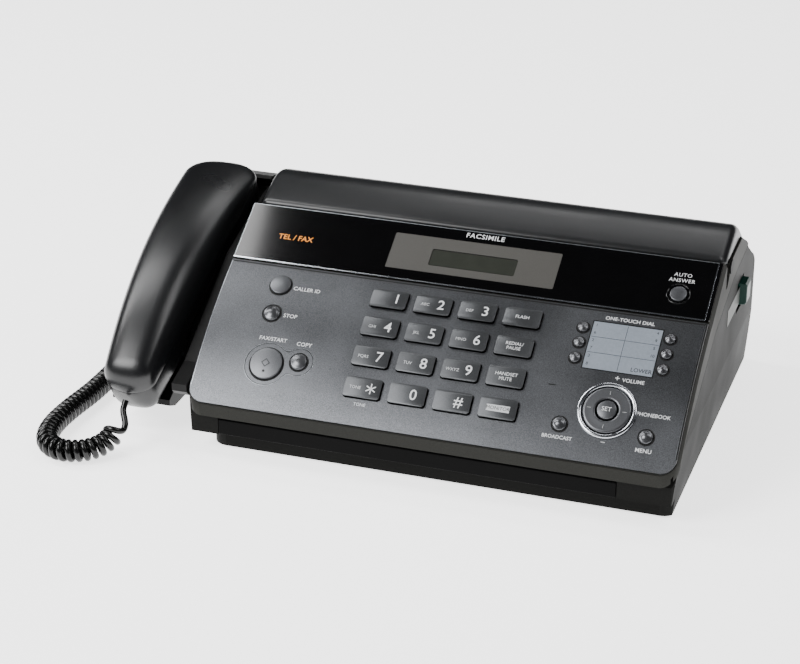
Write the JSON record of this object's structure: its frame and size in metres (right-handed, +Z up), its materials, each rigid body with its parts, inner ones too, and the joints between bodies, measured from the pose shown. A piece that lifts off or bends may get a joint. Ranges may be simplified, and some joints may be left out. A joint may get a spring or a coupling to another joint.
{
  "type": "fax machine",
  "caption": "Desktop fax machine with a curved key panel, tilted display, hinged paper cover and a corded handset in a side cradle.",
  "frame": {"origin": "on the desk, below the middle of the machine's footprint with the handset in its cradle", "axes": "+X to the machine's right, +Y to its back, +Z up"},
  "size_m": [0.3745, 0.2607, 0.1174],
  "materials": {
    "aluminium_bar": "extruded",
    "board_green": "solder mask",
    "case_dark": "fine grain",
    "case_grey": "fine grain",
    "chrome_trim": "polished",
    "cord_black": "glossy jacket",
    "cover_black": "satin, fine grain",
    "display_grey": "matt taupe",
    "foot_rubber": "moulded",
    "gear_plastic": "natural acetal",
    "gloss_black": "polished black",
    "guide_black": "fine grain",
    "handset_black": "semi matt, fine grain",
    "key_caps": "satin bevelled key caps",
    "lever_green": "satin",
    "panel_metallic": "metallic grey paint with fine sparkle",
    "paper_white": "paper",
    "plug_clear": "smoky moulding",
    "roller_rubber": "ground rubber",
    "round_buttons": "satin silver-grey paint",
    "zinc_plate": "zinc plated"
  },
  "bodies": {
    "machine": {"base_plug": "plug_clear", "case_screws": "zinc_plate", "cover_pins": "case_dark", "display_bezel": "gloss_black", "display_module": "display_grey", "drive_motor": "zinc_plate", "feet": "foot_rubber", "front_guide": "guide_black", "handset_cord": "cord_black", "handset_cradle": "cover_black", "image_sensor": "guide_black", "key_plate": "panel_metallic", "lower_case": "case_dark", "main_board": "board_green", "nav_ring": "chrome_trim", "panel_board": "board_green", "roller_bearings": "gear_plastic", "thermal_head": "aluminium_bar", "trim_strips": "chrome_trim", "upper_case": "case_grey"},
    "paper_cover": {"paper_cover": "cover_black"},
    "cover_lever": {"cover_lever": "lever_green"},
    "hook_switch": {"hook_switch": "guide_black"},
    "handset": {"handset_top_shell": "handset_black", "handset_bottom_shell": "handset_black"},
    "platen_roller": {"platen_roller": "roller_rubber"},
    "feed_roller": {"feed_roller": "roller_rubber"},
    "paper_roll": {"paper_roll": "paper_white"},
    "motor_pinion": {"motor_pinion": "gear_plastic"},
    "auto_answer_button": {"auto_answer_button": "round_buttons"},
    "broadcast_button": {"broadcast_button": "round_buttons"},
    "caller_id_button": {"caller_id_button": "round_buttons"},
    "copy_button": {"copy_button": "round_buttons"},
    "key_eight": {"key_eight": "key_caps"},
    "key_five": {"key_five": "key_caps"},
    "key_flash": {"key_flash": "key_caps"},
    "key_four": {"key_four": "key_caps"},
    "key_hash": {"key_hash": "key_caps"},
    "key_monitor": {"key_monitor": "key_caps"},
    "key_mute": {"key_mute": "key_caps"},
    "key_nine": {"key_nine": "key_caps"},
    "key_one": {"key_one": "key_caps"},
    "key_redial": {"key_redial": "key_caps"},
    "key_seven": {"key_seven": "key_caps"},
    "key_six": {"key_six": "key_caps"},
    "key_three": {"key_three": "key_caps"},
    "key_tone": {"key_tone": "key_caps"},
    "key_two": {"key_two": "key_caps"},
    "key_zero": {"key_zero": "key_caps"},
    "menu_button": {"menu_button": "round_buttons"},
    "nav_rocker": {"nav_rocker": "round_buttons"},
    "nav_set_button": {"nav_set_button": "round_buttons"},
    "one_touch_button_1": {"one_touch_button_1": "round_buttons"},
    "one_touch_button_2": {"one_touch_button_2": "round_buttons"},
    "one_touch_button_3": {"one_touch_button_3": "round_buttons"},
    "one_touch_button_4": {"one_touch_button_4": "round_buttons"},
    "one_touch_button_5": {"one_touch_button_5": "round_buttons"},
    "one_touch_button_6": {"one_touch_button_6": "round_buttons"},
    "start_button": {"start_button": "round_buttons"},
    "stop_button": {"stop_button": "round_buttons"}
  },
  "joints": [
    {"name": "auto_answer_button_press", "type": "slide", "parent": "machine", "child": "auto_answer_button", "axis": [0, 0.5075, -0.8616], "range_m": [0, 0.0012], "stiffness_N_per_m": 200, "springref_m": -0.001},
    {"name": "broadcast_button_press", "type": "slide", "parent": "machine", "child": "broadcast_button", "axis": [0, 0.6051, -0.7962], "range_m": [0, 0.0012], "stiffness_N_per_m": 200, "springref_m": -0.001},
    {"name": "caller_id_button_press", "type": "slide", "parent": "machine", "child": "caller_id_button", "axis": [0, 0.6051, -0.7962], "range_m": [0, 0.0012], "stiffness_N_per_m": 200, "springref_m": -0.001},
    {"name": "copy_button_press", "type": "slide", "parent": "machine", "child": "copy_button", "axis": [0, 0.6051, -0.7962], "range_m": [0, 0.0012], "stiffness_N_per_m": 200, "springref_m": -0.001},
    {"name": "key_eight_press", "type": "slide", "parent": "machine", "child": "key_eight", "axis": [0, 0.6051, -0.7962], "range_m": [0, 0.0012], "stiffness_N_per_m": 200, "springref_m": -0.001},
    {"name": "key_five_press", "type": "slide", "parent": "machine", "child": "key_five", "axis": [0, 0.6051, -0.7962], "range_m": [0, 0.0012], "stiffness_N_per_m": 200, "springref_m": -0.001},
    {"name": "key_flash_press", "type": "slide", "parent": "machine", "child": "key_flash", "axis": [0, 0.6051, -0.7962], "range_m": [0, 0.0012], "stiffness_N_per_m": 200, "springref_m": -0.001},
    {"name": "key_four_press", "type": "slide", "parent": "machine", "child": "key_four", "axis": [0, 0.6051, -0.7962], "range_m": [0, 0.0012], "stiffness_N_per_m": 200, "springref_m": -0.001},
    {"name": "key_hash_press", "type": "slide", "parent": "machine", "child": "key_hash", "axis": [0, 0.6051, -0.7962], "range_m": [0, 0.0012], "stiffness_N_per_m": 200, "springref_m": -0.001},
    {"name": "key_monitor_press", "type": "slide", "parent": "machine", "child": "key_monitor", "axis": [0, 0.6051, -0.7962], "range_m": [0, 0.0012], "stiffness_N_per_m": 200, "springref_m": -0.001},
    {"name": "key_mute_press", "type": "slide", "parent": "machine", "child": "key_mute", "axis": [0, 0.6051, -0.7962], "range_m": [0, 0.0012], "stiffness_N_per_m": 200, "springref_m": -0.001},
    {"name": "key_nine_press", "type": "slide", "parent": "machine", "child": "key_nine", "axis": [0, 0.6051, -0.7962], "range_m": [0, 0.0012], "stiffness_N_per_m": 200, "springref_m": -0.001},
    {"name": "key_one_press", "type": "slide", "parent": "machine", "child": "key_one", "axis": [0, 0.6051, -0.7962], "range_m": [0, 0.0012], "stiffness_N_per_m": 200, "springref_m": -0.001},
    {"name": "key_redial_press", "type": "slide", "parent": "machine", "child": "key_redial", "axis": [0, 0.6051, -0.7962], "range_m": [0, 0.0012], "stiffness_N_per_m": 200, "springref_m": -0.001},
    {"name": "key_seven_press", "type": "slide", "parent": "machine", "child": "key_seven", "axis": [0, 0.6051, -0.7962], "range_m": [0, 0.0012], "stiffness_N_per_m": 200, "springref_m": -0.001},
    {"name": "key_six_press", "type": "slide", "parent": "machine", "child": "key_six", "axis": [0, 0.6051, -0.7962], "range_m": [0, 0.0012], "stiffness_N_per_m": 200, "springref_m": -0.001},
    {"name": "key_three_press", "type": "slide", "parent": "machine", "child": "key_three", "axis": [0, 0.6051, -0.7962], "range_m": [0, 0.0012], "stiffness_N_per_m": 200, "springref_m": -0.001},
    {"name": "key_tone_press", "type": "slide", "parent": "machine", "child": "key_tone", "axis": [0, 0.6051, -0.7962], "range_m": [0, 0.0012], "stiffness_N_per_m": 200, "springref_m": -0.001},
    {"name": "key_two_press", "type": "slide", "parent": "machine", "child": "key_two", "axis": [0, 0.6051, -0.7962], "range_m": [0, 0.0012], "stiffness_N_per_m": 200, "springref_m": -0.001},
    {"name": "key_zero_press", "type": "slide", "parent": "machine", "child": "key_zero", "axis": [0, 0.6051, -0.7962], "range_m": [0, 0.0012], "stiffness_N_per_m": 200, "springref_m": -0.001},
    {"name": "menu_button_press", "type": "slide", "parent": "machine", "child": "menu_button", "axis": [0, 0.6051, -0.7962], "range_m": [0, 0.0012], "stiffness_N_per_m": 200, "springref_m": -0.001},
    {"name": "nav_rocker_press", "type": "slide", "parent": "machine", "child": "nav_rocker", "axis": [0, 0.6051, -0.7962], "range_m": [0, 0.0012], "stiffness_N_per_m": 200, "springref_m": -0.001},
    {"name": "nav_set_button_press", "type": "slide", "parent": "machine", "child": "nav_set_button", "axis": [0, 0.6051, -0.7962], "range_m": [0, 0.0012], "stiffness_N_per_m": 200, "springref_m": -0.001},
    {"name": "one_touch_button_1_press", "type": "slide", "parent": "machine", "child": "one_touch_button_1", "axis": [0, 0.6051, -0.7962], "range_m": [0, 0.0012], "stiffness_N_per_m": 200, "springref_m": -0.001},
    {"name": "one_touch_button_2_press", "type": "slide", "parent": "machine", "child": "one_touch_button_2", "axis": [0, 0.6051, -0.7962], "range_m": [0, 0.0012], "stiffness_N_per_m": 200, "springref_m": -0.001},
    {"name": "one_touch_button_3_press", "type": "slide", "parent": "machine", "child": "one_touch_button_3", "axis": [0, 0.6051, -0.7962], "range_m": [0, 0.0012], "stiffness_N_per_m": 200, "springref_m": -0.001},
    {"name": "one_touch_button_4_press", "type": "slide", "parent": "machine", "child": "one_touch_button_4", "axis": [0, 0.6051, -0.7962], "range_m": [0, 0.0012], "stiffness_N_per_m": 200, "springref_m": -0.001},
    {"name": "one_touch_button_5_press", "type": "slide", "parent": "machine", "child": "one_touch_button_5", "axis": [0, 0.6051, -0.7962], "range_m": [0, 0.0012], "stiffness_N_per_m": 200, "springref_m": -0.001},
    {"name": "one_touch_button_6_press", "type": "slide", "parent": "machine", "child": "one_touch_button_6", "axis": [0, 0.6051, -0.7962], "range_m": [0, 0.0012], "stiffness_N_per_m": 200, "springref_m": -0.001},
    {"name": "start_button_press", "type": "slide", "parent": "machine", "child": "start_button", "axis": [0, 0.6051, -0.7962], "range_m": [0, 0.0012], "stiffness_N_per_m": 200, "springref_m": -0.001},
    {"name": "stop_button_press", "type": "slide", "parent": "machine", "child": "stop_button", "axis": [0, 0.6051, -0.7962], "range_m": [0, 0.0012], "stiffness_N_per_m": 200, "springref_m": -0.001},
    {"name": "cover_hinge", "type": "hinge", "parent": "machine", "child": "paper_cover", "pos_m": [0.02713, 0.01963, 0.101], "axis": [1, 0, 0], "range_deg": [0, 70]},
    {"name": "cover_lever_slide", "type": "slide", "parent": "machine", "child": "cover_lever", "axis": [0, -1, 0], "range_m": [0, 0.005], "stiffness_N_per_m": 300, "springref_m": -0.002},
    {"name": "handset_lift", "type": "slide", "parent": "machine", "child": "handset", "axis": [0, -0.4462, 0.8949], "range_m": [0, 0.08]},
    {"name": "hook_switch_slide", "type": "slide", "parent": "machine", "child": "hook_switch", "axis": [0, 0, 1], "range_m": [0, 0.004]},
    {"name": "platen_spin", "type": "hinge", "parent": "machine", "child": "platen_roller", "pos_m": [0.02713, 0.02263, 0.078], "axis": [1, 0, 0], "continuous": true},
    {"name": "feed_spin", "type": "hinge", "parent": "machine", "child": "feed_roller", "pos_m": [0.02713, -0.06037, 0.03], "axis": [1, 0, 0], "continuous": true},
    {"name": "roll_spin", "type": "hinge", "parent": "machine", "child": "paper_roll", "pos_m": [0.02713, 0.05563, 0.067], "axis": [1, 0, 0], "continuous": true},
    {"name": "pinion_spin", "type": "hinge", "parent": "machine", "child": "motor_pinion", "pos_m": [0.02713, 0.02263, 0.06], "axis": [1, 0, 0], "continuous": true}
  ],
  "couplings": [
    {"joint": "hook_switch_slide", "follows": "handset_lift", "ratio": 0.05},
    {"joint": "pinion_spin", "follows": "platen_spin", "ratio": -2}
  ]
}
